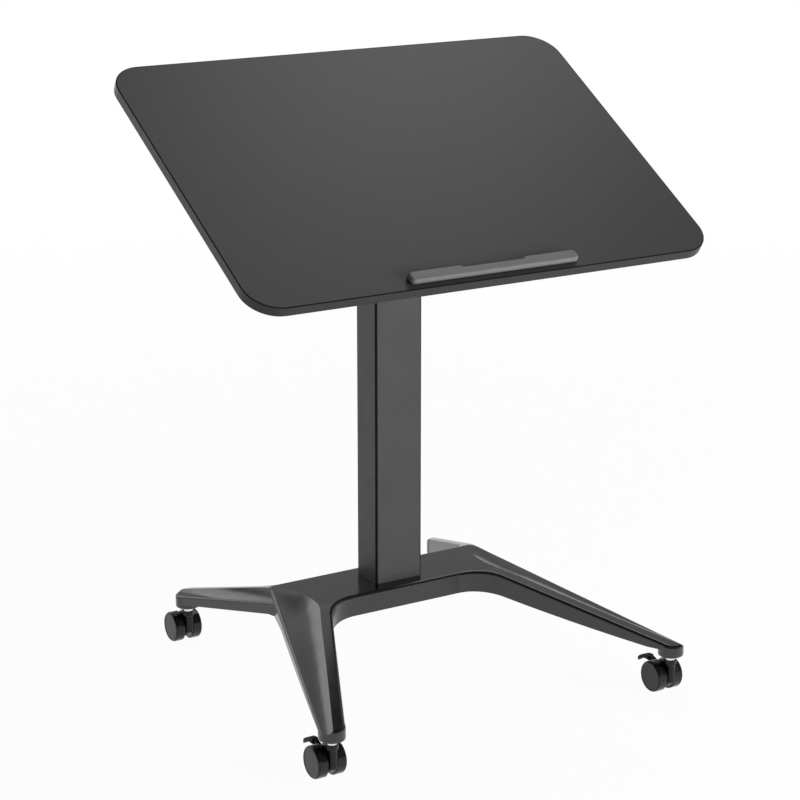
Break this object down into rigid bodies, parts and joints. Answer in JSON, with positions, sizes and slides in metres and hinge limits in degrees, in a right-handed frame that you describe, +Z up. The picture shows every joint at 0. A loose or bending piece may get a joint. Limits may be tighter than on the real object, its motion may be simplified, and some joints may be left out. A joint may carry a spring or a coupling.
{
  "type": "mobile laptop table",
  "caption": "Sit-stand laptop table with a tilting rounded top, laptop stop, telescopic gas-lift column and a cast four-leg base on twin-wheel casters.",
  "frame": {"origin": "on the floor, under the middle of the overall box", "axes": "+Z up, -Y towards the user at the laptop stop, +X to the user's right"},
  "size_m": [0.8, 0.6546, 0.9797],
  "materials": {
    "board_laminate": "matt dark grey laminate",
    "band_plastic": "satin dark grey edge band",
    "stop_plastic": "satin dark grey moulding",
    "column_paint": "satin black powder coat",
    "base_paint": "semi gloss black paint on cast aluminium",
    "frame_paint": "satin black powder coat",
    "guide_plastic": "black moulded plastic",
    "steel": "zinc plated",
    "chrome": "polished",
    "grip_plastic": "black moulded plastic",
    "caster_plastic": "black moulded plastic",
    "wheel_plastic": "black nylon"
  },
  "bodies": {
    "base": {"base_casting": "base_paint", "outer_column": "column_paint", "column_plug": "guide_plastic", "column_bolts": "steel", "column_collar": "guide_plastic", "gas_cylinder": "frame_paint", "cylinder_nut": "steel", "front_left_stem": "chrome", "front_right_stem": "chrome", "rear_left_stem": "chrome", "rear_right_stem": "chrome"},
    "lift": {"inner_column": "column_paint", "glide_sleeve": "guide_plastic", "column_head": "frame_paint", "head_screws": "steel", "piston_rod": "chrome", "rod_nut": "steel", "tilt_shaft": "steel", "friction_washers": "guide_plastic", "outer_washers": "steel", "lever_pin": "steel"},
    "top": {"tabletop_board": "board_laminate", "edge_band": "band_plastic", "laptop_stop": "stop_plastic", "stop_screws": "steel", "tilt_frame": "frame_paint", "frame_screws": "steel"},
    "knob": {"tilt_knob": "grip_plastic"},
    "lever": {"release_lever": "steel", "lever_grip": "grip_plastic"},
    "pin": {"release_pin": "steel"},
    "front_left_caster": {"front_left_hood": "caster_plastic", "front_left_axle": "steel", "front_left_brake_pin": "steel"},
    "front_left_left_roller": {"front_left_left_wheel": "wheel_plastic"},
    "front_left_right_roller": {"front_left_right_wheel": "wheel_plastic"},
    "front_left_pedal": {"front_left_brake": "caster_plastic"},
    "front_right_caster": {"front_right_hood": "caster_plastic", "front_right_axle": "steel", "front_right_brake_pin": "steel"},
    "front_right_left_roller": {"front_right_left_wheel": "wheel_plastic"},
    "front_right_right_roller": {"front_right_right_wheel": "wheel_plastic"},
    "front_right_pedal": {"front_right_brake": "caster_plastic"},
    "rear_left_caster": {"rear_left_hood": "caster_plastic", "rear_left_axle": "steel"},
    "rear_left_left_roller": {"rear_left_left_wheel": "wheel_plastic"},
    "rear_left_right_roller": {"rear_left_right_wheel": "wheel_plastic"},
    "rear_right_caster": {"rear_right_hood": "caster_plastic", "rear_right_axle": "steel"},
    "rear_right_left_roller": {"rear_right_left_wheel": "wheel_plastic"},
    "rear_right_right_roller": {"rear_right_right_wheel": "wheel_plastic"}
  },
  "joints": [
    {"name": "height", "type": "slide", "parent": "base", "child": "lift", "axis": [0, 0, 1], "range_m": [-0.114, 0.25]},
    {"name": "tilt", "type": "hinge", "parent": "lift", "child": "top", "pos_m": [0, 0.041, 0.8288], "axis": [1, 0, 0], "range_deg": [-30.5, 29.5]},
    {"name": "knob_turn", "type": "hinge", "parent": "lift", "child": "knob", "pos_m": [0, 0.041, 0.8288], "axis": [-1, 0, 0], "range_deg": [0, 360]},
    {"name": "lever_lift", "type": "hinge", "parent": "lift", "child": "lever", "pos_m": [0.02, 0.041, 0.7991], "axis": [0, -1, 0], "range_deg": [0, 7], "stiffness_Nm_per_rad": 12, "springref_deg": -2.86},
    {"name": "pin_press", "type": "slide", "parent": "lift", "child": "pin", "axis": [0, 0, -1], "range_m": [0, 0.0026]},
    {"name": "front_left_swivel", "type": "hinge", "parent": "base", "child": "front_left_caster", "pos_m": [-0.3078, -0.307, 0], "axis": [0, 0, 1], "continuous": true},
    {"name": "front_left_left_roll", "type": "hinge", "parent": "front_left_caster", "child": "front_left_left_roller", "pos_m": [-0.3078, -0.286, 0.025], "axis": [1, 0, 0], "continuous": true},
    {"name": "front_left_right_roll", "type": "hinge", "parent": "front_left_caster", "child": "front_left_right_roller", "pos_m": [-0.3078, -0.286, 0.025], "axis": [1, 0, 0], "continuous": true},
    {"name": "front_left_brake_press", "type": "hinge", "parent": "front_left_caster", "child": "front_left_pedal", "pos_m": [-0.3078, -0.27, 0.0375], "axis": [-1, 0, 0], "range_deg": [0, 12]},
    {"name": "front_right_swivel", "type": "hinge", "parent": "base", "child": "front_right_caster", "pos_m": [0.3078, -0.307, 0], "axis": [0, 0, 1], "continuous": true},
    {"name": "front_right_left_roll", "type": "hinge", "parent": "front_right_caster", "child": "front_right_left_roller", "pos_m": [0.3078, -0.286, 0.025], "axis": [1, 0, 0], "continuous": true},
    {"name": "front_right_right_roll", "type": "hinge", "parent": "front_right_caster", "child": "front_right_right_roller", "pos_m": [0.3078, -0.286, 0.025], "axis": [1, 0, 0], "continuous": true},
    {"name": "front_right_brake_press", "type": "hinge", "parent": "front_right_caster", "child": "front_right_pedal", "pos_m": [0.3078, -0.27, 0.0375], "axis": [-1, 0, 0], "range_deg": [0, 12]},
    {"name": "rear_left_swivel", "type": "hinge", "parent": "base", "child": "rear_left_caster", "pos_m": [-0.2465, 0.2813, 0], "axis": [0, 0, 1], "continuous": true},
    {"name": "rear_left_left_roll", "type": "hinge", "parent": "rear_left_caster", "child": "rear_left_left_roller", "pos_m": [-0.2465, 0.3023, 0.025], "axis": [1, 0, 0], "continuous": true},
    {"name": "rear_left_right_roll", "type": "hinge", "parent": "rear_left_caster", "child": "rear_left_right_roller", "pos_m": [-0.2465, 0.3023, 0.025], "axis": [1, 0, 0], "continuous": true},
    {"name": "rear_right_swivel", "type": "hinge", "parent": "base", "child": "rear_right_caster", "pos_m": [0.2465, 0.2813, 0], "axis": [0, 0, 1], "continuous": true},
    {"name": "rear_right_left_roll", "type": "hinge", "parent": "rear_right_caster", "child": "rear_right_left_roller", "pos_m": [0.2465, 0.3023, 0.025], "axis": [1, 0, 0], "continuous": true},
    {"name": "rear_right_right_roll", "type": "hinge", "parent": "rear_right_caster", "child": "rear_right_right_roller", "pos_m": [0.2465, 0.3023, 0.025], "axis": [1, 0, 0], "continuous": true}
  ],
  "couplings": [
    {"joint": "pin_press", "follows": "lever_lift", "m_per_rad": 0.02}
  ]
}
